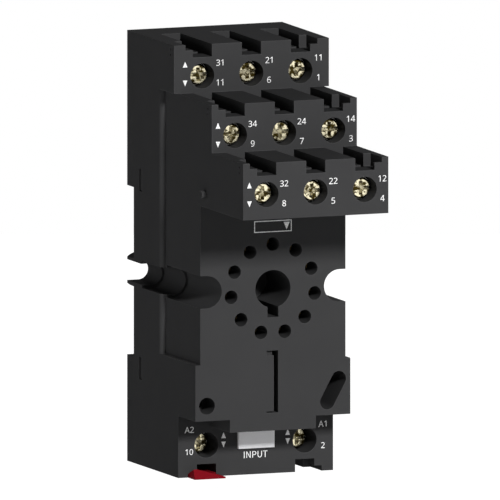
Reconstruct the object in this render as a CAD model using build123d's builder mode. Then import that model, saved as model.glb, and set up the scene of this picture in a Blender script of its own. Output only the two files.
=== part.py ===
from build123d import *
import math
import os

# Relay socket for a plug-in relay with eleven pins, screw terminals in steps.
# Millimetres. X runs to the right as seen from the front, Y to the back, Z up.
# The origin is the middle of the rail seat, on the axis of the pin circle.
# Depths are counted forward from the back edge, heights from the pin circle's axis.

# Rail seat in the back
rail_height = 35.0
rail_thickness = 1.0
rail_play = 0.95
seat_depth = 3.8
hook_reach = 1.3
hook_gap = 0.2
seat_relief = 0.3

# Main form of the housing
full_width = 35.0
waist_width = 32.8
axis_to_bottom = 40.6
axis_to_top = 50.9
base_depth = 19.6
base_edge_radius = 1.1
panel_depth = 39.5
lower_face_depth = 29.5
lower_block_top = -15.5
lower_panel_edge = -27.4
tongue_width = 19.4
tongue_drop = 2.7

# Steps that carry the upper terminals
step_height = 10.25
step_1_depth = 27.1
step_2_depth = 46.1
step_3_depth = 64.3
step_1_channel_back = 8.8
step_3_bottom = 18.4
column_pitch = 11.1

# Wire channels on top of each step
channel_width = 4.35
channel_depth = 2.7
channel_run = 18.3
side_pocket_width = 1.65
side_pocket_length = 6.5
pocket_front_wall = 1.2
side_step_depth = 1.15
channel_floor = 1.1

# Terminal screws, clamping plates and the cells that hold them
screw_drop = 6.7
screw_hole_radius = 2.7
head_radius = 2.25
head_height = 2.0
head_chamfer = 0.35
drive_slot_width = 0.8
drive_depth = 1.0
drive_cross_length = 2.9
upper_head_setback = 2.5
lower_head_setback = 4.7
shank_radius = 1.45
thread_clearance = 0.05
plate_width = 7.2
plate_height = 5.2
plate_thickness = 1.0
plate_hole_clearance = 0.15
clamp_travel = 2.3
clamp_last_gap = 0.2
bar_width = 7.6
bar_thickness = 1.0
shank_past_bar = 2.0
cell_clearance = 0.2
riser_room = 0.7
part_clearance = 0.1

# Eleven pin circle and the key in its middle
pin_count = 11
pin_circle_radius = 9.525
pin_hole_radius = 1.45
key_radius = 4.0
key_slot_width = 2.5
key_slot_reach = 6.05
key_depth = 14.0
panel_wall = 6.0
sleeve_length = 10.4
sleeve_width = 3.3
sleeve_wall = 0.45
sleeve_slit = 0.6

# Contact strips behind the pins
strip_width = 3.0
strip_thickness = 0.8
leg_thickness = 0.7
first_layer_depth = 7.4
layer_pitch = 2.8
passing_offset = 8.5
strip_jog = 3.0
strip_turn_below = 5.0
riser_width = 6.0

# Hollow behind the terminals and the cover that closes it
cavity_depth = 18.0
side_wall = 2.2
cover_thickness = 2.2
cover_ledge = 1.0
cover_top_margin = 1.6

# Grooves at both sides for the panel screws
groove_offset = 15.0
groove_rear_radius = 2.2
groove_middle_radius = 2.85
groove_front_radius = 3.45
groove_rear_length = 8.0
groove_middle_end = 20.0
groove_boss_radius = 3.75

# Snaps between the cover and the side walls
snap_offset = 20.0
snap_window_height = 4.8
snap_window_length = 1.6
snap_window_depth = 6.9
snap_arm_thickness = 0.8
snap_lug_inset = 0.3
snap_gap = 0.2

# Red clip that grips the lower edge of the rail
clip_width = 7.0
clip_centre = -11.8
clip_thickness = 2.2
clip_inset = 0.3
clip_clearance = 0.15
clip_lip = 0.8
guide_wall = 1.1
guide_side_wall = 0.6
clip_lip_thickness = 1.0
clip_arm_thickness = 0.8
clip_tab_reach = 4.0
clip_tab_height = 2.1
clip_tab_lean = 0.7
clip_tab_slope = 15.8
clip_tab_flat = 0.8
clip_travel = 3.0
clip_nose_chamfer = 0.7
spring_strip = 0.25
spring_folds = 7
spring_fold_radius = 0.3
spring_side_gap = 0.2
spring_shut_length = 5.0
spring_post_height = 2.0
spring_window_width = 2.6
spring_end_gap = 0.05
spring_base_z = -32.0
spring_window_slack = 0.4

# Small features of the front
marker_width = 8.1
marker_height = 4.8
marker_thickness = 1.1
marker_recess = 0.5
marker_gap = 0.1
slit_width = 1.0
slit_height = 13.2
slit_leg = 1.65
slit_depth = 5.0
slit_leg_depth = 1.0
slit_foot_height = 0.3
slit_centre_x = 0.7
slit_top_z = -13.1
test_hole_radius = 1.8
test_hole_depth = 12.0
test_hole_step = 0.5
test_hole_step_depth = 6.0
test_hole_x = 14.9
test_hole_z = -24.2
slanted_slot_width = 3.3
slanted_slot_run = 5.4
slanted_slot_angle = 61.5
slanted_slot_x = 13.6
slanted_slot_z = -22.2
peg_radius = 0.9
peg_setback = 2.8
peg_drop = 2.8
catch_size = 0.5
catch_setback = 2.2
catch_drops = (1.0, 2.2)

# How far a cut runs past the face that it opens in
past = 1.0

half_width = full_width / 2
half_waist = waist_width / 2
clamp_gap = clamp_travel + clamp_last_gap
spring_length = spring_shut_length + clip_travel
head_to_bar = head_height + plate_thickness + clamp_gap
cell_half_width = bar_width / 2 + cell_clearance
cell_above = screw_drop - channel_depth - channel_floor
cell_below = cell_above + riser_room
cavity_half_width = half_width - side_wall
opening_half_width = cavity_half_width + cover_ledge
seat_height = rail_height + rail_play
os.makedirs("parts", exist_ok=True)


def seen_from_front(depth):
    """Plane at a depth in front of the back edge: local x is right, local y is up."""
    return Plane(origin=(0, seat_depth - depth, 0), x_dir=(1, 0, 0), z_dir=(0, -1, 0))


def block(left, right, low, high, back, front, mode=Mode.ADD):
    """Box between two widths, two heights and two depths, in the running part."""
    with BuildSketch(seen_from_front(back)) as section:
        with Locations(((left + right) / 2, (low + high) / 2)):
            Rectangle(right - left, high - low)
    extrude(section.sketch, amount=front - back, mode=mode)


def rod(x, z, radius, back, front, mode=Mode.ADD):
    """Round bar or hole along the depth, in the running part."""
    with BuildSketch(seen_from_front(back)) as section:
        with Locations((x, z)):
            Circle(radius)
    extrude(section.sketch, amount=front - back, mode=mode)


def finish(part, name):
    """Label a finished piece and write it to its file."""
    part.part.label = name
    export_step(part.part, "parts/" + name + ".step")


class Terminal:
    """Place of one screw terminal: its column, its step and the pin it serves."""

    def __init__(self, pin, column, face, top, back, layer, upward=1, setback=upper_head_setback):
        self.pin = pin
        self.x = column * column_pitch
        self.side = column
        self.face = face
        self.back = back
        self.up = upward
        self.z = top - upward * screw_drop
        self.head_front = face - setback
        self.plate_front = self.head_front - head_height
        self.bar_front = self.head_front - head_to_bar
        self.layer = first_layer_depth + layer * layer_pitch

    def span(self, inner, outer):
        """Low and high height of a stretch counted from the screw towards the wire side."""
        return sorted((self.z + self.up * inner, self.z + self.up * outer))


step_1_top = axis_to_top
step_2_top = axis_to_top - step_height
step_3_top = axis_to_top - 2 * step_height
lower_channel_back = lower_face_depth - channel_run

terminals = [
    Terminal(11, -1, step_1_depth, step_1_top, step_1_channel_back, 0),
    Terminal(6, 0, step_1_depth, step_1_top, step_1_channel_back, 0),
    Terminal(1, 1, step_1_depth, step_1_top, step_1_channel_back, 0),
    Terminal(9, -1, step_2_depth, step_2_top, step_1_depth, 1),
    Terminal(7, 0, step_2_depth, step_2_top, step_1_depth, 1),
    Terminal(3, 1, step_2_depth, step_2_top, step_1_depth, 1),
    Terminal(8, -1, step_3_depth, step_3_top, step_2_depth, 2),
    Terminal(5, 0, step_3_depth, step_3_top, step_2_depth, 2),
    Terminal(4, 1, step_3_depth, step_3_top, step_2_depth, 2),
    Terminal(10, -1, lower_face_depth, -axis_to_bottom, lower_channel_back, 3, -1, lower_head_setback),
    Terminal(2, 1, lower_face_depth, -axis_to_bottom, lower_channel_back, 3, -1, lower_head_setback),
]


def pin_angle(pin):
    """Angle of a pin, counted round from the key at the bottom of the circle."""
    return math.radians(270 + 360 / pin_count * (pin - 0.5))


def pin_place(pin):
    """Place of a pin on its circle."""
    angle = pin_angle(pin)
    return pin_circle_radius * math.cos(angle), pin_circle_radius * math.sin(angle)


# Cover profile, seen from the side: flat above and below, set forward at the rail seat
seat_top = seat_height / 2
cover_top = axis_to_top - cover_top_margin
cover_bottom = cover_top_margin - axis_to_bottom


def cover_profile(grow):
    """Outline of the stepped cover on the plane of symmetry, as (depth, height) pairs."""
    rear = -past if grow else 0.0
    inner = cover_thickness
    points = [
        (rear, cover_bottom - grow),
        (inner, cover_bottom - grow),
        (inner, -seat_top - cover_thickness),
        (seat_depth + inner, -seat_top - cover_thickness),
        (seat_depth + inner, seat_top + cover_thickness),
        (inner, seat_top + cover_thickness),
        (inner, cover_top + grow),
        (rear, cover_top + grow),
    ]
    if not grow:
        relief_depth = seat_depth + seat_relief
        relief_edge = seat_top - hook_reach - hook_gap
        points += [
            (0, seat_top),
            (relief_depth, seat_top),
            (relief_depth, relief_edge),
            (seat_depth, relief_edge),
            (seat_depth, -relief_edge),
            (relief_depth, -relief_edge),
            (relief_depth, -seat_top),
            (0, -seat_top),
        ]
    return [(seat_depth - depth, height) for depth, height in points]


clip_left = clip_centre - clip_width / 2
clip_right = clip_centre + clip_width / 2
arm_left = -column_pitch - channel_width / 2 + clip_clearance
arm_right = -column_pitch + channel_width / 2 - clip_clearance
clip_back = clip_inset
clip_front = clip_inset + clip_thickness
guide_left = clip_left - clip_clearance - guide_side_wall
guide_right = clip_right + clip_clearance + guide_wall
guide_front = clip_front + clip_clearance + guide_wall

# Room that the cover needs in the housing, with the round bosses left standing
with BuildPart() as cover_room:
    with BuildSketch(Plane.YZ):
        with BuildLine():
            Polyline(cover_profile(part_clearance), close=True)
        make_face()
    extrude(amount=opening_half_width + part_clearance, both=True)
    for side in (-1, 1):
        rod(side * groove_offset, 0, groove_boss_radius, -2 * past, cavity_depth, Mode.SUBTRACT)
    block(guide_left - part_clearance, guide_right + part_clearance, cover_bottom - part_clearance,
          -seat_top, 0, guide_front + part_clearance)

# Stepped side grooves for the panel screws, open to the side
with BuildPart() as screw_grooves:
    for radius, back, front in (
        (groove_rear_radius, -past, groove_rear_length),
        (groove_middle_radius, groove_rear_length, groove_middle_end),
        (groove_front_radius, groove_middle_end, panel_depth + past),
    ):
        with BuildSketch(seen_from_front(back)):
            for side in (-1, 1):
                with Locations((side * groove_offset, 0)):
                    Circle(radius)
                with Locations((side * (groove_offset + half_width / 2), 0)):
                    Rectangle(half_width, 2 * radius)
        extrude(amount=front - back)

# Housing: the black moulding with the steps, the socket panel and the terminal cells
with BuildPart() as housing:
    with BuildSketch(Plane.YZ):
        with BuildLine():
            outline = [
                (0, -axis_to_bottom),
                (lower_face_depth, -axis_to_bottom),
                (lower_face_depth, lower_panel_edge),
                (panel_depth, lower_panel_edge),
                (panel_depth, step_3_bottom),
                (step_3_depth, step_3_bottom),
                (step_3_depth, step_3_top),
                (step_2_depth, step_3_top),
                (step_2_depth, step_2_top),
                (step_1_depth, step_2_top),
                (step_1_depth, step_1_top),
                (0, step_1_top),
            ]
            Polyline([(seat_depth - depth, height) for depth, height in outline], close=True)
        make_face()
    extrude(amount=half_waist, both=True)

    # Full-width rear base with rounded front edges, top step and lower block
    with BuildSketch(Plane.XY.offset(-axis_to_bottom)):
        with Locations((0, seat_depth - base_depth / 2)):
            base_outline = Rectangle(full_width, base_depth)
        front_corners = base_outline.vertices().group_by(Axis.Y)[0]
        fillet(front_corners, base_edge_radius)
    extrude(amount=axis_to_bottom + axis_to_top)
    block(-half_width, half_width, step_2_top, step_1_top, 0, step_1_depth)
    block(-half_width, half_width, -axis_to_bottom, lower_block_top, 0, lower_face_depth)
    block(-half_width, half_width, lower_panel_edge, lower_block_top, 0, panel_depth)
    block(-tongue_width / 2, tongue_width / 2, lower_panel_edge - tongue_drop, lower_panel_edge,
          base_depth, panel_depth)

    # Rail seat across the back, with a round boss at each side
    block(-half_width - past, half_width + past, -seat_top, seat_top, -past, seat_depth, Mode.SUBTRACT)
    for side in (-1, 1):
        with BuildSketch(seen_from_front(0)):
            with Locations((side * groove_offset, 0)):
                Circle(groove_boss_radius)
            with Locations((side * (half_width + groove_boss_radius), 0)):
                Rectangle(2 * groove_boss_radius, 4 * groove_boss_radius, mode=Mode.SUBTRACT)
        extrude(amount=cavity_depth)
    add(screw_grooves.part, mode=Mode.SUBTRACT)

    # Hollow from the back, with the ledge that the cover seats on
    with BuildSketch(seen_from_front(-past)):
        with Locations((0, (terminals[0].z - terminals[-1].z) / 2 + terminals[-1].z)):
            Rectangle(2 * cavity_half_width, terminals[0].z - terminals[-1].z + 2 * cell_above)
        with Locations((-groove_offset, 0), (groove_offset, 0)):
            Circle(groove_boss_radius, mode=Mode.SUBTRACT)
    extrude(amount=cavity_depth + past, mode=Mode.SUBTRACT)
    add(cover_room.part, mode=Mode.SUBTRACT)

    # One cell, one screw hole and one wire channel for each terminal
    for place in terminals:
        low, high = place.span(-cell_below, cell_above)
        block(place.x - cell_half_width, place.x + cell_half_width, low, high,
              cavity_depth - past, place.plate_front + part_clearance, Mode.SUBTRACT)
        rod(place.x, place.z, screw_hole_radius, place.plate_front, place.face + past, Mode.SUBTRACT)
        low, high = place.span(screw_drop - channel_depth, screw_drop + past)
        block(place.x - channel_width / 2, place.x + channel_width / 2, low, high,
              place.back, place.face + past, Mode.SUBTRACT)
        low, high = place.span(0, screw_drop)
        block(place.x - channel_width / 2, place.x + channel_width / 2, low, high,
              place.bar_front, place.plate_front - plate_thickness, Mode.SUBTRACT)
        if place.side:
            inner = place.side * (column_pitch + channel_width / 2)
            outer = inner + place.side * side_pocket_width
            left, right = sorted((inner, outer))
            low, high = place.span(screw_drop - channel_depth, screw_drop + past)
            block(left, right, low, high, place.face - side_pocket_length,
                  place.face - pocket_front_wall, Mode.SUBTRACT)
            low, high = place.span(screw_drop - side_step_depth, screw_drop + past)
            block(left, right, low, high, place.face - side_pocket_length, place.face + past,
                  Mode.SUBTRACT)

    # Pin holes with wider wells behind them, and the keyed centre hole
    for pin in range(1, pin_count + 1):
        pin_x, pin_z = pin_place(pin)
        rod(pin_x, pin_z, pin_hole_radius, cavity_depth - past, panel_depth + past, Mode.SUBTRACT)
        well = sleeve_width / 2 + part_clearance
        block(pin_x - well, pin_x + well, pin_z - well, pin_z + well, cavity_depth - past,
              panel_depth - panel_wall, Mode.SUBTRACT)
    with BuildSketch(seen_from_front(panel_depth)):
        Circle(key_radius)
        with Locations((0, -key_slot_reach / 2)):
            Rectangle(key_slot_width, key_slot_reach)
    extrude(amount=-key_depth, mode=Mode.SUBTRACT)

    # Windows for the cover's snaps
    for side in (-1, 1):
        for height in (-snap_offset, snap_offset):
            left, right = sorted((side * (cavity_half_width - past), side * (half_width + past)))
            block(left, right, height - snap_window_height / 2, height + snap_window_height / 2,
                  snap_window_depth, snap_window_depth + snap_window_length, Mode.SUBTRACT)

    # Way for the rail clip: a slot at the back, and a groove from there to the wire channel
    groove_top = clip_arm_thickness + clip_clearance - axis_to_bottom
    block(arm_left - clip_clearance, arm_right + clip_clearance, -axis_to_bottom - past, groove_top,
          -past, lower_channel_back + past, Mode.SUBTRACT)
    block(clip_left - clip_clearance, clip_right + clip_clearance, -axis_to_bottom - past,
          cover_bottom + part_clearance, -past, clip_front + clip_clearance, Mode.SUBTRACT)

    # Hook-shaped slit, stepped test hole and slanted slot in the lower panel
    slit_low = slit_top_z - slit_height
    slit_left = slit_centre_x - slit_width / 2
    slit_right = slit_centre_x + slit_width / 2
    block(slit_left, slit_right, slit_low, slit_top_z,
          panel_depth - slit_depth, panel_depth + past, Mode.SUBTRACT)
    for low, high in ((slit_top_z - slit_width, slit_top_z), (slit_low, slit_low + slit_foot_height)):
        block(slit_left - slit_leg, slit_left, low, high,
              panel_depth - slit_leg_depth, panel_depth + past, Mode.SUBTRACT)
    rod(-test_hole_x, test_hole_z, test_hole_radius, panel_depth - test_hole_step_depth,
        panel_depth + past, Mode.SUBTRACT)
    rod(-test_hole_x, test_hole_z, test_hole_radius - test_hole_step, panel_depth - test_hole_depth,
        panel_depth, Mode.SUBTRACT)
    with BuildSketch(seen_from_front(panel_depth)):
        with Locations((slanted_slot_x, slanted_slot_z)):
            SlotCenterToCenter(slanted_slot_run, slanted_slot_width, rotation=slanted_slot_angle)
    extrude(amount=-test_hole_depth, mode=Mode.SUBTRACT)

    # Recess for the marker plate
    marker_top = lower_panel_edge - tongue_drop - marker_gap
    block(-marker_width / 2 - marker_gap, marker_width / 2 + marker_gap,
          marker_top - marker_height - marker_gap, marker_top + marker_gap,
          lower_face_depth - marker_recess, lower_face_depth + past, Mode.SUBTRACT)

    # Two small catches at each end of each step
    for face, top, half in (
        (step_1_depth, step_1_top, half_width),
        (step_2_depth, step_2_top, half_waist),
        (step_3_depth, step_3_top, half_waist),
    ):
        for drop in catch_drops:
            for left, right in ((-half - past, catch_size - half), (half - catch_size, half + past)):
                block(left, right, top - drop - catch_size / 2, top - drop + catch_size / 2,
                      face - catch_setback - catch_size / 2, face - catch_setback + catch_size / 2,
                      Mode.SUBTRACT)

    # Pegs at both sides for a hold-down bail
    for side_plane in (Plane.YZ.offset(-half_width), Plane.YZ.offset(half_waist)):
        with BuildSketch(side_plane):
            with Locations((seat_depth - panel_depth - peg_setback, step_3_bottom + peg_drop)):
                Circle(peg_radius)
        extrude(amount=half_width - half_waist)
finish(housing, "housing")

# Back cover: stepped plate that forms the rail seat, with a fixed hook at its upper edge
with BuildPart() as back_cover:
    with BuildSketch(Plane.YZ):
        with BuildLine():
            Polyline(cover_profile(0), close=True)
        make_face()
    extrude(amount=opening_half_width, both=True)
    for side in (-1, 1):
        rod(side * groove_offset, 0, groove_boss_radius + part_clearance, -past, cavity_depth, Mode.SUBTRACT)
        inner = side * (cavity_half_width - snap_gap - snap_arm_thickness)
        outer = side * (cavity_half_width - snap_gap)
        lug = side * (half_width - snap_lug_inset)
        for height in (-snap_offset, snap_offset):
            low = height - snap_window_height / 2 + part_clearance
            high = height + snap_window_height / 2 - part_clearance
            lug_back = snap_window_depth + part_clearance
            lug_front = snap_window_depth + snap_window_length - part_clearance
            block(*sorted((inner, outer)), low, high, cover_thickness / 2, lug_front)
            block(*sorted((outer, lug)), low, high, lug_back, lug_front)

    # Fixed hook over the upper edge of the rail
    hook_width = 2 * (groove_offset - groove_boss_radius)
    block(-hook_width / 2, hook_width / 2, seat_top - hook_reach, seat_top, 0,
          seat_depth - rail_thickness - hook_gap)

    # Guide for the rail clip: a box inside the cover with a T-shaped way, open at the bottom
    block(guide_left, guide_right, cover_bottom, -seat_top, 0, guide_front)
    block(clip_left - clip_clearance, clip_right + clip_clearance, cover_bottom - past, -seat_top + past,
          clip_back + clip_lip_thickness - clip_clearance, clip_front + clip_clearance, Mode.SUBTRACT)
    block(clip_left + clip_lip - clip_clearance, clip_right - clip_lip + clip_clearance,
          cover_bottom - past, -seat_top + past, -past, clip_back + clip_lip_thickness, Mode.SUBTRACT)

    # Post that the clip's spring stands on
    block(clip_centre - spring_window_width / 2 + clip_clearance,
          clip_centre + spring_window_width / 2 - clip_clearance,
          spring_base_z - spring_post_height, spring_base_z, clip_back, guide_front)
finish(back_cover, "back_cover")

# Finger tab of the rail clip: its lip rises to the front and falls off to the right
with BuildPart() as clip_tab:
    with BuildSketch(Plane.YZ.offset(clip_left)):
        with BuildLine():
            tab_back = seat_depth - lower_face_depth - part_clearance
            tab_front = seat_depth - lower_face_depth - clip_tab_reach
            Polyline(
                (tab_back, -axis_to_bottom),
                (tab_back, clip_arm_thickness - axis_to_bottom),
                (tab_front + clip_tab_lean, clip_tab_height - axis_to_bottom),
                (tab_front, -axis_to_bottom),
                close=True,
            )
        make_face()
    extrude(amount=clip_width)
    slope = Plane(origin=(clip_left + clip_tab_flat, 0, clip_tab_height - axis_to_bottom))
    split(bisect_by=slope.rotated((0, clip_tab_slope, 0)), keep=Keep.BOTTOM)

# Rail clip: a sprung slide with a nose for the rail, and an arm under the housing to its tab
with BuildPart() as rail_clip:
    block(clip_left, clip_right, -axis_to_bottom, -seat_top + hook_reach,
          clip_back + clip_lip_thickness, clip_front)
    block(clip_left + clip_lip, clip_right - clip_lip, -axis_to_bottom, -seat_top + hook_reach,
          clip_back, clip_back + clip_lip_thickness)
    nose = rail_clip.edges().filter_by(Axis.X).group_by(Axis.Z)[-1].sort_by(Axis.Y)[-1]
    chamfer(nose, clip_nose_chamfer)
    block(arm_left, arm_right, -axis_to_bottom, clip_arm_thickness - axis_to_bottom,
          clip_front - clip_thickness / 2, lower_face_depth + part_clearance)
    add(clip_tab.part)
    block(clip_centre - spring_window_width / 2, clip_centre + spring_window_width / 2,
          spring_base_z - spring_post_height - spring_window_slack,
          spring_base_z + spring_length, -past, clip_front + past, Mode.SUBTRACT)
finish(rail_clip, "rail_clip")

# Clip spring: steel strip folded to and fro in the clip's window
with BuildPart() as clip_spring:
    spring_side = spring_window_width / 2 - spring_side_gap - spring_strip / 2
    spring_low = spring_base_z + spring_end_gap + spring_strip / 2
    fold_height = (spring_length - 2 * spring_end_gap - spring_strip) / spring_folds
    folds = [(clip_centre + spring_side * (-1) ** count, spring_low + fold_height * count)
             for count in range(spring_folds + 1)]
    ends = [(clip_centre - spring_side, spring_low),
            (clip_centre - spring_side * (-1) ** spring_folds, folds[-1][1])]
    with BuildSketch(seen_from_front(clip_back + spring_side_gap)):
        with BuildLine():
            FilletPolyline(ends[0], *folds, ends[1], radius=spring_fold_radius)
        trace(line_width=spring_strip)
    extrude(amount=clip_thickness - 2 * spring_side_gap)
finish(clip_spring, "clip_spring")

# Marker plate pressed into the lower terminal face
with BuildPart() as marker_plate:
    block(-marker_width / 2, marker_width / 2, marker_top - marker_height, marker_top,
          lower_face_depth - marker_recess, lower_face_depth - marker_recess + marker_thickness)
finish(marker_plate, "marker_plate")


def run_points(place):
    """Way of a contact strip in its layer, from its pin to its terminal."""
    pin_x, pin_z = pin_place(place.pin)
    foot = place.z - place.up * (cell_below - cell_clearance)
    if place.pin in (1, 11):
        aside = place.side * passing_offset
        return [(pin_x, pin_z), (aside, pin_z), (aside, step_3_bottom),
                (place.x, step_3_bottom + strip_turn_below), (place.x, foot)]
    if place.pin == 6:
        return [(pin_x, pin_z), (place.x, foot)]
    if place.side:
        aside = place.side * passing_offset
        bend = place.up * (step_3_bottom - strip_turn_below)
        return [(pin_x, pin_z), (aside, pin_z + place.up * strip_width / 2), (aside, bend),
                (place.x, bend + place.up * strip_jog), (place.x, foot)]
    return [(pin_x, pin_z), (pin_x, step_3_bottom - strip_turn_below), (place.x, step_3_bottom),
            (place.x, foot)]


def contact_strip(place):
    """One contact: folded sleeve, leg, flat run, riser and the bar under the clamp."""
    pin_x, pin_z = pin_place(place.pin)
    sleeve_front = panel_depth - panel_wall - part_clearance
    sleeve_back = sleeve_front - sleeve_length
    low, high = place.span(-cell_below + cell_clearance, cell_above - cell_clearance)
    riser_low, riser_high = place.span(-cell_below + cell_clearance,
                                       -cell_below + cell_clearance + strip_thickness)
    with BuildPart() as contact:
        half = sleeve_width / 2
        bore = half - sleeve_wall
        block(pin_x - half, pin_x + half, pin_z - half, pin_z + half, sleeve_back, sleeve_front)
        block(pin_x - bore, pin_x + bore, pin_z - bore, pin_z + bore, sleeve_back - past,
              sleeve_front + past, Mode.SUBTRACT)
        block(pin_x - sleeve_slit / 2, pin_x + sleeve_slit / 2, pin_z, pin_z + 2 * half,
              sleeve_back - past, sleeve_front + past, Mode.SUBTRACT)
        block(pin_x - half, pin_x + half, pin_z - half, pin_z - half + leg_thickness,
              place.layer, sleeve_back + leg_thickness)
        with BuildSketch(seen_from_front(place.layer)) as run:
            with BuildLine() as way:
                Polyline(run_points(place))
            trace(line_width=strip_width)
            with Locations((pin_x, pin_z)):
                Rectangle(sleeve_width, sleeve_width)
            with Locations((place.x, (riser_low + riser_high) / 2)):
                Rectangle(riser_width, strip_thickness)
        extrude(run.sketch, amount=strip_thickness)
        block(place.x - riser_width / 2, place.x + riser_width / 2, riser_low, riser_high,
              place.layer, place.bar_front)
        block(place.x - bar_width / 2, place.x + bar_width / 2, low, high,
              place.bar_front - bar_thickness, place.bar_front)
        rod(place.x, place.z, shank_radius + thread_clearance,
            place.bar_front - 2 * bar_thickness, place.bar_front + past, Mode.SUBTRACT)
    finish(contact, f"contact_{place.pin}")


def clamp_plate(place):
    """Captive plate under the screw head that presses the wire on the bar."""
    with BuildPart() as clamp:
        block(place.x - plate_width / 2, place.x + plate_width / 2,
              place.z - plate_height / 2, place.z + plate_height / 2,
              place.plate_front - plate_thickness, place.plate_front)
        rod(place.x, place.z, shank_radius + plate_hole_clearance,
            place.plate_front - 2 * plate_thickness, place.plate_front + past, Mode.SUBTRACT)
        corners = clamp.edges().filter_by(Axis.Y).group_by(SortBy.LENGTH)[0]
        chamfer(corners.filter_by(GeomType.LINE), plate_thickness / 2)
    finish(clamp, f"clamp_{place.pin}")


def terminal_screw(place):
    """Terminal screw with a low head, a driver slot and a shorter cross cut."""
    head_back = place.plate_front
    drive_floor = place.head_front - drive_depth
    with BuildPart() as screw:
        rod(place.x, place.z, head_radius, head_back, place.head_front)
        rim = screw.edges().filter_by(GeomType.CIRCLE).sort_by(Axis.Y)[0]
        chamfer(rim, head_chamfer)
        rod(place.x, place.z, shank_radius, place.bar_front - bar_thickness - shank_past_bar, head_back)
        block(place.x - head_radius, place.x + head_radius, place.z - drive_slot_width / 2,
              place.z + drive_slot_width / 2, drive_floor, place.head_front + past, Mode.SUBTRACT)
        block(place.x - drive_slot_width / 2, place.x + drive_slot_width / 2,
              place.z - drive_cross_length / 2, place.z + drive_cross_length / 2,
              drive_floor, place.head_front + past, Mode.SUBTRACT)
    finish(screw, f"screw_{place.pin}")


for place in terminals:
    contact_strip(place)
    clamp_plate(place)
    terminal_screw(place)
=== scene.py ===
import math

import bmesh
import bpy
from mathutils import Matrix, Vector


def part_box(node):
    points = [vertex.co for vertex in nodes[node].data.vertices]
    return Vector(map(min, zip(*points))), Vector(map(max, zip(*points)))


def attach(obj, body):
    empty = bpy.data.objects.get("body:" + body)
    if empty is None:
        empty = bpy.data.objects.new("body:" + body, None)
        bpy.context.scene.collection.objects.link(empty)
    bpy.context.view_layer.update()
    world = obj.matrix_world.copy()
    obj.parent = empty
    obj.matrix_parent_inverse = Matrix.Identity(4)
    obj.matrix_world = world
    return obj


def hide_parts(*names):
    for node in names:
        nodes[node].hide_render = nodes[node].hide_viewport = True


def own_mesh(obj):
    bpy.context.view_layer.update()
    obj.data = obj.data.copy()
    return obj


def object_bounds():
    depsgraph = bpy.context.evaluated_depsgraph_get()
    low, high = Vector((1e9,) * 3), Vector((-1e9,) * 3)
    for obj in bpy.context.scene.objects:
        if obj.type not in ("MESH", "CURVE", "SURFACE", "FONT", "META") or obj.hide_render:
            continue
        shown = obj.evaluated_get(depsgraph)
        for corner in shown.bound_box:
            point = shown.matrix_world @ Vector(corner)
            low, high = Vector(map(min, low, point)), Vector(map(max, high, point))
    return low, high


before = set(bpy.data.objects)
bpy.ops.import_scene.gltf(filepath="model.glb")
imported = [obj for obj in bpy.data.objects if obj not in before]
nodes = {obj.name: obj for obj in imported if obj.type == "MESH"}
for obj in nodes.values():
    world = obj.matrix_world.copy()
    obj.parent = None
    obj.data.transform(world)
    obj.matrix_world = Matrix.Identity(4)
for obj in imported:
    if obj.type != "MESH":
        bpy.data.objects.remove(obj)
cad_low, cad_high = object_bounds()

# Housing and back cover
# Two mouldings of black glass-filled plastic, the cover snapped into the back of the housing. The
# mould leaves a fine satin grain, the colour is never quite even, and the edges are painted paler:
# partly wear from rubbing, partly a painted highlight.
millimetre = 0.001
black_colour = (0.046, 0.046, 0.047)
black_cloud = (0.040, 0.040, 0.041)
# Paler colour of the edges: wear from rubbing and a painted highlight
rubbed_and_highlit_black = (0.105, 0.105, 0.107)
cloud_scale = 160
cloud_detail = 5
mould_grain_scale = 5200
mould_grain_detail = 3
satin_variation = 0.07
mould_grain_strength = 0.35
mould_grain_height = 0.02 * millimetre
moulded_edge = 0.22 * millimetre
edge_samples = 6

# Cosine of how far the softened surface turns, where the paler edges (wear from rubbing and painted
# highlight) start and where they are full
first_rubbed_highlight = 0.995
full_rubbed_highlight = 0.86


def feed(tree, socket, value):
    """Give a socket a number, a colour or another node's output."""
    if isinstance(value, bpy.types.NodeSocket):
        tree.links.new(value, socket)
    else:
        socket.default_value = value


def new_finish(name):
    """Material with its node tree and its shader."""
    material = bpy.data.materials.new(name)
    material.use_nodes = True
    return material, material.node_tree, material.node_tree.nodes["Principled BSDF"]


def pattern(tree, scale, detail):
    """Cloudy value from 0 to 1 that stays fixed to the piece."""
    place = tree.nodes.new("ShaderNodeTexCoord")
    clouds = tree.nodes.new("ShaderNodeTexNoise")
    clouds.inputs["Scale"].default_value = scale
    clouds.inputs["Detail"].default_value = detail
    tree.links.new(place.outputs["Object"], clouds.inputs["Vector"])
    return clouds.outputs["Fac"]


def stretched(tree, value, start, end, low=0.0, high=1.0):
    """Value that runs from low to high while another runs from start to end."""
    ramp = tree.nodes.new("ShaderNodeMapRange")
    ramp.inputs["From Min"].default_value = start
    ramp.inputs["From Max"].default_value = end
    feed(tree, ramp.inputs["To Min"], low)
    feed(tree, ramp.inputs["To Max"], high)
    tree.links.new(value, ramp.inputs["Value"])
    return ramp.outputs["Result"]


def calculated(tree, operation, first, second):
    """Sum, product or other outcome of two values."""
    step = tree.nodes.new("ShaderNodeMath")
    step.operation = operation
    feed(tree, step.inputs[0], first)
    feed(tree, step.inputs[1], second)
    return step.outputs["Value"]


def mixed(tree, share, first, second):
    """Colour between two others, the second one where the share is 1."""
    mix = tree.nodes.new("ShaderNodeMix")
    mix.data_type = "RGBA"
    tree.links.new(share, mix.inputs["Factor"])
    for socket, colour in ((mix.inputs["A"], first), (mix.inputs["B"], second)):
        feed(tree, socket, (*colour, 1) if isinstance(colour, tuple) else colour)
    return mix.outputs["Result"]


def softened_edges(tree, radius):
    """Surface direction that turns softly round the edges."""
    rounded = tree.nodes.new("ShaderNodeBevel")
    rounded.samples = edge_samples
    rounded.inputs["Radius"].default_value = radius
    return rounded.outputs["Normal"]


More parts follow.
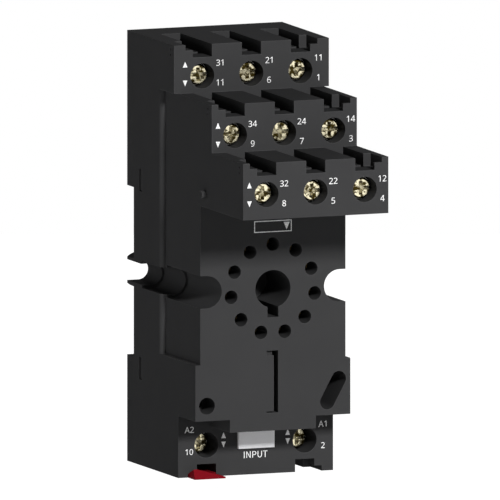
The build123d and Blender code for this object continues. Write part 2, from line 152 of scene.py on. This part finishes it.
def embossed(tree, height, strength, distance, normal=None):
    """Surface direction with a fine relief on it."""
    relief = tree.nodes.new("ShaderNodeBump")
    relief.inputs["Strength"].default_value = strength
    relief.inputs["Distance"].default_value = distance
    tree.links.new(height, relief.inputs["Height"])
    if normal:
        tree.links.new(normal, relief.inputs["Normal"])
    return relief.outputs["Normal"]


def moulded_plastic(name, colour, cloud, rubbed_and_highlit, roughness, specular):
    """Satin moulded plastic: cloudy colour, edges painted paler for wear from rubbing and as a painted
    highlight, and a fine spark-eroded grain.
    """
    material, tree, shader = new_finish(name)
    shader.inputs["Specular IOR Level"].default_value = specular
    clouds = pattern(tree, cloud_scale, cloud_detail)
    rounded = softened_edges(tree, moulded_edge)
    flat = tree.nodes.new("ShaderNodeNewGeometry")
    facing = tree.nodes.new("ShaderNodeVectorMath")
    facing.operation = "DOT_PRODUCT"
    tree.links.new(rounded, facing.inputs[0])
    tree.links.new(flat.outputs["Normal"], facing.inputs[1])
    edge = stretched(tree, facing.outputs["Value"], first_rubbed_highlight, full_rubbed_highlight)
    # Paler edges, mottled by the clouds: wear from rubbing and a painted highlight
    rubbed_and_highlit_share = calculated(tree, "MULTIPLY", edge, clouds)
    shade = mixed(tree, rubbed_and_highlit_share, mixed(tree, clouds, cloud, colour), rubbed_and_highlit)
    tree.links.new(shade, shader.inputs["Base Color"])
    grain = pattern(tree, mould_grain_scale, mould_grain_detail)
    satin = stretched(tree, grain, 0, 1, roughness - satin_variation, roughness + satin_variation)
    tree.links.new(satin, shader.inputs["Roughness"])
    relief = embossed(tree, grain, mould_grain_strength, mould_grain_height, rounded)
    tree.links.new(relief, shader.inputs["Normal"])
    return material


def dress(node, material):
    """Give a CAD node's surface this finish."""
    for place in nodes[node].material_slots:
        place.material = material


black_moulding = moulded_plastic("black_moulding", black_colour, black_cloud, rubbed_and_highlit_black,
                                 roughness=0.8, specular=0.0)
dress("housing", black_moulding)
dress("back_cover", black_moulding)

# Printed marks
# White pad print on the black faces: two numbers and a pair of arrows beside the screws, the
# coil terminals' letters, and a small frame with an arrow above the socket. The ink is thin.
ink_colour = (0.95, 0.95, 0.95)
thin_ink_share = 0.62
thin_ink_colour = tuple(thin_ink_share * tone for tone in ink_colour)
ink_scale = 3500
ink_detail = 4
first_cover = 0.3
full_cover = 0.55
ink_sheen = (0.45, 0.7)
ink_specular = 0.3
ink_relief_strength = 0.3
ink_relief_height = 0.01 * millimetre
ink_thickness = 0.02 * millimetre
number_height = 1.3 * millimetre
number_offset = 3.95 * millimetre
upper_number_rise = 2.65 * millimetre
lower_number_drop = 1.55 * millimetre
arrow_x = -15.0 * millimetre
arrow_width = 1.04 * millimetre
arrow_height = 1.24 * millimetre
upper_arrow_rise = 2.6 * millimetre
lower_arrow_drop = 1.4 * millimetre
letter_segments = 3

# How far the heads of the screws lie behind the printed faces
upper_setback = 2.5 * millimetre
lower_setback = 4.7 * millimetre

# Each step: how much lower its print sits than on the first, and for each screw, from the left,
# its pin and the numbers above and below it
steps = {
    1: (0.0, ((11, "31", "11"), (6, "21", "6"), (1, "11", "1"))),
    2: (0.36 * millimetre, ((9, "34", "9"), (7, "24", "7"), (3, "14", "3"))),
    3: (0.5 * millimetre, ((8, "32", "8"), (5, "22", "5"), (4, "12", "4"))),
}


def print_ink():
    """White pad-print ink, slightly uneven in cover and sheen."""
    material, tree, shader = new_finish("white_ink")
    shader.inputs["Specular IOR Level"].default_value = ink_specular
    cover = pattern(tree, ink_scale, ink_detail)
    shade = mixed(tree, stretched(tree, cover, first_cover, full_cover), thin_ink_colour, ink_colour)
    tree.links.new(shade, shader.inputs["Base Color"])
    tree.links.new(stretched(tree, cover, 0, 1, *ink_sheen), shader.inputs["Roughness"])
    relief = embossed(tree, cover, ink_relief_strength, ink_relief_height)
    tree.links.new(relief, shader.inputs["Normal"])
    return material


def add_words(mesh, words, font, centre, height):
    """Add printed characters of one height to a mesh, standing on a face that looks to the front."""
    curve = bpy.data.curves.new("characters", "FONT")
    curve.font = font
    curve.body = words
    curve.align_x = "CENTER"
    curve.resolution_u = letter_segments
    lettering = bpy.data.objects.new("characters", curve)
    bpy.context.scene.collection.objects.link(lettering)
    finished = lettering.evaluated_get(bpy.context.evaluated_depsgraph_get())
    flat = bpy.data.meshes.new_from_object(finished)
    heights = [vertex.co.y for vertex in flat.vertices]
    widths = [vertex.co.x for vertex in flat.vertices]
    middle = Vector(((max(widths) + min(widths)) / 2, (max(heights) + min(heights)) / 2, 0))
    size = height / (max(heights) - min(heights))
    upright = Matrix.Rotation(math.radians(90), 4, "X")
    flat.transform(Matrix.Translation(centre) @ upright @ Matrix.Scale(size, 4)
                   @ Matrix.Translation(-middle))
    mesh.from_mesh(flat)
    bpy.data.objects.remove(lettering)
    bpy.data.curves.remove(curve)
    bpy.data.meshes.remove(flat)


def add_arrow(mesh, centre, upward, width=arrow_width, height=arrow_height):
    """Add a solid printed triangle that points up or down."""
    corners = bmesh.ops.create_circle(mesh, cap_ends=True, segments=3, radius=1)["verts"]
    heights = [corner.co.y for corner in corners]
    widths = [corner.co.x for corner in corners]
    middle = (min(heights) + max(heights)) / 2
    points_up = sum(height_above > middle for height_above in heights) == 1
    flip = 1 if points_up == upward else -1
    shape = Matrix.Diagonal((width / (max(widths) - min(widths)),
                             flip * height / (max(heights) - min(heights)), 1, 1))
    upright = Matrix.Rotation(math.radians(90), 4, "X")
    place = Matrix.Translation(centre) @ upright @ shape @ Matrix.Translation((0, -middle, 0))
    bmesh.ops.transform(mesh, matrix=place, verts=corners)


def printed_piece(name, mesh):
    """Turn flat printed shapes into a thin layer of ink that rides on the housing."""
    for face in mesh.faces:
        face.normal_update()
    raised = bmesh.ops.extrude_face_region(mesh, geom=list(mesh.faces))
    lifted = [item for item in raised["geom"] if isinstance(item, bmesh.types.BMVert)]
    bmesh.ops.translate(mesh, vec=(0, -ink_thickness, 0), verts=lifted)
    bmesh.ops.recalc_face_normals(mesh, faces=mesh.faces)
    data = bpy.data.meshes.new(name)
    mesh.to_mesh(data)
    mesh.free()
    data.materials.append(white_ink)
    piece = bpy.data.objects.new(name, data)
    bpy.context.scene.collection.objects.link(piece)
    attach(piece, "housing")


def screw_place(pin):
    """Middle of a screw's head, at the front of that head."""
    low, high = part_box(f"screw_{pin}")
    return (low[0] + high[0]) / 2, low[1], (low[2] + high[2]) / 2


font_folder = bpy.utils.system_resource("DATAFILES", path="fonts")
number_font = bpy.data.fonts.load(font_folder + "/NotoSansSymbols-VariableFont_wght.woff2")
word_font = bpy.data.fonts.load(font_folder + "/Noto Sans CJK Regular.woff2")
white_ink = print_ink()
for step, (drop, marks) in steps.items():
    step_print = bmesh.new()
    for pin, upper_number, lower_number in marks:
        x, head_y, screw_z = screw_place(pin)
        z = screw_z - drop
        face_y = head_y - upper_setback
        upper_place = (x + number_offset, face_y, z + upper_number_rise)
        lower_place = (x + number_offset, face_y, z - lower_number_drop)
        add_words(step_print, upper_number, number_font, upper_place, number_height)
        add_words(step_print, lower_number, number_font, lower_place, number_height)
    add_arrow(step_print, (arrow_x, face_y, z + upper_arrow_rise), upward=True)
    add_arrow(step_print, (arrow_x, face_y, z - lower_arrow_drop), upward=False)
    printed_piece(f"print_step_{step}", step_print)

# Each mark on the lower face: its characters and font, its place from the middle and from the
# lower edge, and its height, in millimetres
lower_marks = (("A2", number_font, -15.0, 10.1, 1.3), ("10", number_font, -15.0, 5.4, 1.25),
               ("A1", number_font, 15.1, 9.95, 1.3), ("2", number_font, 15.2, 5.4, 1.25),
               ("INPUT", word_font, 0.0, 4.2, 1.4))
lower_arrow_x = 7.25 * millimetre
lower_arrows = ((8.6, True), (6.65, False))
lower_face_y = screw_place(2)[1] - lower_setback
housing_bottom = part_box("housing")[0][2]
lower_print = bmesh.new()
for words, font, across, above_bottom, height in lower_marks:
    centre = (across * millimetre, lower_face_y, housing_bottom + above_bottom * millimetre)
    add_words(lower_print, words, font, centre, height * millimetre)
for x in (-lower_arrow_x, lower_arrow_x):
    for above_bottom, upward in lower_arrows:
        add_arrow(lower_print, (x, lower_face_y, housing_bottom + above_bottom * millimetre), upward)
printed_piece("print_lower_face", lower_print)

frame_width = 8.45 * millimetre
frame_height = 2.45 * millimetre
frame_line = 0.17 * millimetre
frame_z = housing_bottom + 53.9 * millimetre
frame_arrow_x = 3.1 * millimetre
frame_arrow_width = 1.35 * millimetre
frame_arrow_height = 1.6 * millimetre
panel_step = 10.0 * millimetre
panel_y = lower_face_y - panel_step
panel_print = bmesh.new()
border = bmesh.ops.create_grid(panel_print, x_segments=1, y_segments=1, size=0.5)
frame_place = Matrix.Translation((0, panel_y, frame_z)) @ Matrix.Rotation(math.radians(90), 4, "X")
bmesh.ops.transform(panel_print, matrix=frame_place @ Matrix.Diagonal((frame_width, frame_height, 1, 1)),
                    verts=border["verts"])
bmesh.ops.inset_region(panel_print, faces=panel_print.faces[:], thickness=frame_line, use_boundary=True,
                       use_even_offset=True)
middle_face = max(panel_print.faces, key=lambda face: face.calc_area())
bmesh.ops.delete(panel_print, geom=[middle_face], context="FACES_ONLY")
add_arrow(panel_print, (frame_arrow_x, panel_y, frame_z), False, frame_arrow_width, frame_arrow_height)
printed_piece("print_panel", panel_print)

# Marker plate
# A small blank plate of light grey plastic, pressed into the lower face to be written on. It is
# moulded with a smoother face than the housing. Its colours are painted paler, as painted light making
# up for the shade the plate lies in, and its edges paler still, from rubbing and a painted highlight.
# Painted light: these colours are made paler to make up for the shade on the plate
marker_colour_painted_paler = (0.92, 0.92, 0.94)
marker_cloud_painted_paler = (0.88, 0.88, 0.90)
rubbed_and_highlit_marker = (0.95, 0.95, 0.96)
dress("marker_plate", moulded_plastic("marker_plastic", marker_colour_painted_paler, marker_cloud_painted_paler, rubbed_and_highlit_marker,
                                      roughness=0.5, specular=0.1))

# Rail clip and its spring
# The clip is one moulding of red plastic, polished at its tab by fingers. A folded strip of bright
# spring steel in its window pushes it up against the rail, and shortens when the clip is pulled.
red_colour = (0.20, 0.0045, 0.010)
red_cloud = (0.16, 0.003, 0.007)
# Paler red for the edges: wear from rubbing and a painted highlight
rubbed_and_highlit_red = (0.30, 0.02, 0.025)
stain_detail = 2
stain_middle = 0.52
stain_dullness = 0.14
clean_polish = 0.06
scratch_fineness = 5
scratch_detail = 3
scratch_strength = 0.3
metal_edge = 0.12 * millimetre
merge_distance = 0.001 * millimetre


def metal(name, colour, stain_or_reflection, roughness, blotch_scale, contrast, scratch_height, middle=stain_middle):
    """Rolled or plated metal: blotches of slight staining, or on the screws painted dark reflections,
    duller where they are, and small scratches.
    """
    material, tree, shader = new_finish(name)
    shader.inputs["Metallic"].default_value = 1.0
    stains_or_reflections = pattern(tree, blotch_scale, stain_detail)
    # Blotch mask: slight staining on plates, spring and contacts; painted dark reflections on the screws
    unblotched_share = stretched(tree, stains_or_reflections, middle - contrast, middle + contrast)
    tree.links.new(mixed(tree, unblotched_share, stain_or_reflection, colour), shader.inputs["Base Color"])
    sheen = stretched(tree, stains_or_reflections, 0, 1, roughness + stain_dullness, roughness - clean_polish)
    tree.links.new(sheen, shader.inputs["Roughness"])
    scratches = pattern(tree, scratch_fineness * blotch_scale, scratch_detail)
    rounded = softened_edges(tree, metal_edge)
    relief = embossed(tree, scratches, scratch_strength, scratch_height, rounded)
    tree.links.new(relief, shader.inputs["Normal"])
    return material


dress("rail_clip", moulded_plastic("red_plastic", red_colour, red_cloud, rubbed_and_highlit_red,
                                   roughness=0.6, specular=0.02))
spring_finish = metal("spring_strip", colour=(0.62, 0.61, 0.6), stain_or_reflection=(0.42, 0.41, 0.4), roughness=0.25,
                      blotch_scale=900, contrast=0.13, scratch_height=0.02 * millimetre)
spring_mesh = bmesh.new()
spring_mesh.from_mesh(nodes["clip_spring"].data)
bmesh.ops.remove_doubles(spring_mesh, verts=spring_mesh.verts, dist=merge_distance)
bmesh.ops.recalc_face_normals(spring_mesh, faces=spring_mesh.faces)
spring_data = bpy.data.meshes.new("folded_spring")
spring_mesh.to_mesh(spring_data)
spring_mesh.free()
spring_data.materials.append(spring_finish)
spring = bpy.data.objects.new("folded_spring", spring_data)
bpy.context.scene.collection.objects.link(spring)
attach(spring, "housing")
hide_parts("clip_spring")
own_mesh(spring)

# Terminal screws, clamping plates and contacts
# Screws with a yellow passivated zinc finish, flat plates of zinc-plated steel under their heads,
# and contacts stamped from brass strip, each folded into a square sleeve for its pin.
pin_count = 11
zinc_yellow = (1.0, 0.92, 0.65)
# Painted reflections: the screws' zinc has near-black blotches standing for dark reflected surroundings
zinc_reflection_dark = (0.045, 0.032, 0.005)
screw_reflection_middle = 0.49
# Painted shade: colour and share of the darkening down in each screw's drive
drive_shade_colour = (0.05, 0.036, 0.008)
drive_shade_share = 0.5
head_radius = 2.25 * millimetre
head_height = 2.0 * millimetre
drive_depth = 1.0 * millimetre
shank_radius = 1.45 * millimetre
beyond_shank = 1.0
thread_pitch = 0.5 * millimetre
edge_margin = 0.08 * millimetre


def within(tree, value, low, high):
    """Value that is 1 where a length lies between two limits, and 0 elsewhere."""
    above = calculated(tree, "GREATER_THAN", value, low)
    below = calculated(tree, "LESS_THAN", value, high)
    return calculated(tree, "MULTIPLY", above, below)


def vector_step(tree, operation, first, second=(0, 0, 0)):
    """Node that works on a place and a fixed vector."""
    step = tree.nodes.new("ShaderNodeVectorMath")
    step.operation = operation
    tree.links.new(first, step.inputs[0])
    step.inputs[1].default_value = second
    return step.outputs


def screw_metal(pin):
    """Yellow zinc of one screw: painted dark reflections, painted shade down in the drive and a thread
    below the head.
    """
    material = metal(f"yellow_zinc_{pin}", zinc_yellow, zinc_reflection_dark, roughness=0.2, blotch_scale=1000,
                     contrast=0.06, scratch_height=0.05 * millimetre, middle=screw_reflection_middle)
    tree = material.node_tree
    shader = tree.nodes["Principled BSDF"]
    zinc = shader.inputs["Base Color"].links[0].from_socket
    scratched = shader.inputs["Normal"].links[0].from_socket
    place = tree.nodes.new("ShaderNodeTexCoord").outputs["Object"]
    from_head = vector_step(tree, "SUBTRACT", place, screw_place(pin))["Vector"]
    split = tree.nodes.new("ShaderNodeSeparateXYZ")
    tree.links.new(from_head, split.inputs["Vector"])
    across, depth, upward = (split.outputs[axis] for axis in "XYZ")
    sideways = vector_step(tree, "MULTIPLY", from_head, (1, 0, 1))["Vector"]
    radius = vector_step(tree, "LENGTH", sideways)["Value"]

    in_drive = calculated(tree, "MULTIPLY",
                          within(tree, depth, edge_margin, drive_depth + edge_margin),
                          within(tree, radius, -edge_margin, head_radius - edge_margin))
    # Painted shade down in the screw's drive
    drive_shade = calculated(tree, "MULTIPLY", in_drive, drive_shade_share)
    tree.links.new(mixed(tree, drive_shade, zinc, drive_shade_colour), shader.inputs["Base Color"])

    turn = calculated(tree, "ARCTAN2", upward, across)
    winding = calculated(tree, "ADD", calculated(tree, "MULTIPLY", depth, 1 / thread_pitch),
                         calculated(tree, "MULTIPLY", turn, 1 / math.tau))
    ridge = calculated(tree, "PINGPONG", winding, 0.5)
    on_shank = calculated(tree, "MULTIPLY",
                          within(tree, depth, head_height + edge_margin, beyond_shank),
                          within(tree, radius, -edge_margin, shank_radius + edge_margin))
    thread = embossed(tree, calculated(tree, "MULTIPLY", ridge, on_shank), 1, thread_pitch, scratched)
    tree.links.new(thread, shader.inputs["Normal"])
    return material


plate_finish = metal("zinc_plate", colour=(0.66, 0.65, 0.62), stain_or_reflection=(0.45, 0.44, 0.42), roughness=0.36,
                     blotch_scale=500, contrast=0.13, scratch_height=0.02 * millimetre)
# Painted shade: the contacts' brass is much darker than bare brass, standing for the shade in the pin
# holes
shade_darkened_contact_finish = metal("brass_darkened_as_shade", colour=(0.28, 0.21, 0.10), stain_or_reflection=(0.13, 0.095, 0.045), roughness=0.34,
                       blotch_scale=400, contrast=0.13, scratch_height=0.02 * millimetre)
for pin in range(1, pin_count + 1):
    dress(f"screw_{pin}", screw_metal(pin))
    dress(f"clamp_{pin}", plate_finish)
    dress(f"contact_{pin}", shade_darkened_contact_finish)

# Camera
# The photograph's view, in parallel projection from the left and slightly above. The lamps look
# at the same point as the camera.
frame_size = 105.24 * millimetre
aim = Vector((-5.18, -35.7, 8.5)) * millimetre
camera_distance = 4 * frame_size


def seen_from(thing, azimuth, elevation, distance):
    """Put a camera or a lamp this far from the aim, in this direction, looking at it."""
    around = math.radians(azimuth)
    above = math.radians(elevation)
    outward = Vector((math.sin(around) * math.cos(above), -math.cos(around) * math.cos(above),
                      math.sin(above)))
    thing.location = aim + distance * outward
    thing.rotation_mode = "QUATERNION"
    thing.rotation_quaternion = (-outward).to_track_quat("-Z", "Y")
    bpy.context.scene.collection.objects.link(thing)


camera_data = bpy.data.cameras.new("camera")
camera_data.type = "ORTHO"
camera_data.ortho_scale = frame_size
camera_data.clip_end = 2 * camera_distance
camera = bpy.data.objects.new("camera", camera_data)
seen_from(camera, azimuth=-21.35, elevation=7.68, distance=camera_distance)
bpy.context.scene.camera = camera

# Floor and light
# A pale floor, low enough for the clip to be pulled down, and a white surround. One small soft
# lamp stands in front and above, a weaker one at the left, and one behind for the rail side.
floor_size = 3.0
floor_drop = 4.0 * millimetre
floor_colour = (0.75, 0.75, 0.75, 1)
floor_roughness = 0.9
floor_glow_strength = 1.15
floor_glow_share = 0.85
horizon_light = 0.22
high_light = 0.02
high_level = 0.6


def seen_directly(tree):
    """Value that is 1 for camera, glossy and transmitted rays and 0 for the rest."""
    rays = tree.nodes.new("ShaderNodeLightPath").outputs
    seen = calculated(tree, "MAXIMUM", rays["Is Camera Ray"], rays["Is Glossy Ray"])
    return calculated(tree, "MAXIMUM", seen, rays["Is Transmission Ray"])


floor_mesh = bmesh.new()
bmesh.ops.create_grid(floor_mesh, x_segments=1, y_segments=1, size=floor_size / 2)
bmesh.ops.translate(floor_mesh, vec=(0, 0, cad_low[2] - floor_drop), verts=floor_mesh.verts)
floor_data = bpy.data.meshes.new("floor")
floor_mesh.to_mesh(floor_data)
floor_mesh.free()
floor_finish, floor_tree, floor_shader = new_finish("pale_floor")
floor_shader.inputs["Base Color"].default_value = floor_colour
floor_shader.inputs["Roughness"].default_value = floor_roughness
floor_glow = floor_tree.nodes.new("ShaderNodeEmission")
floor_glow.inputs["Strength"].default_value = floor_glow_strength
floor_mix = floor_tree.nodes.new("ShaderNodeMixShader")
glow_share = calculated(floor_tree, "MULTIPLY", seen_directly(floor_tree), floor_glow_share)
floor_tree.links.new(glow_share, floor_mix.inputs["Fac"])
floor_tree.links.new(floor_shader.outputs["BSDF"], floor_mix.inputs[1])
floor_tree.links.new(floor_glow.outputs["Emission"], floor_mix.inputs[2])
floor_tree.links.new(floor_mix.outputs["Shader"], floor_tree.nodes["Material Output"].inputs["Surface"])
floor_data.materials.append(floor_finish)
floor = bpy.data.objects.new("floor", floor_data)
bpy.context.scene.collection.objects.link(floor)

world = bpy.data.worlds.new("surround")
bpy.context.scene.world = world
world.use_nodes = True
world_tree = world.node_tree
surround = world_tree.nodes["Background"]
direction = world_tree.nodes.new("ShaderNodeTexCoord")
level = world_tree.nodes.new("ShaderNodeSeparateXYZ")
world_tree.links.new(direction.outputs["Generated"], level.inputs["Vector"])
light_level = stretched(world_tree, level.outputs["Z"], 0, high_level, horizon_light, high_light)
surround_strength = stretched(world_tree, seen_directly(world_tree), 0, 1, light_level, 1)
world_tree.links.new(surround_strength, surround.inputs["Strength"])
surround.inputs["Color"].default_value = (1, 1, 1, 1)


def add_lamp(name, azimuth, elevation, distance, width, height, power):
    """Soft lamp that looks at the middle of the socket from this direction."""
    lamp_data = bpy.data.lights.new(name, "AREA")
    lamp_data.energy = power
    lamp_data.shape = "RECTANGLE"
    lamp_data.size = width
    lamp_data.size_y = height
    seen_from(bpy.data.objects.new(name, lamp_data), azimuth, elevation, distance)


add_lamp("front_lamp", azimuth=0.7, elevation=25, distance=1.2, width=0.04, height=0.18, power=14.8)
add_lamp("left_fill", azimuth=-97, elevation=2, distance=0.4, width=0.3, height=0.3, power=0.4)
add_lamp("back_fill", azimuth=150, elevation=4, distance=1.2, width=0.6, height=0.6, power=26)

bpy.context.scene.view_settings.view_transform = "Standard"
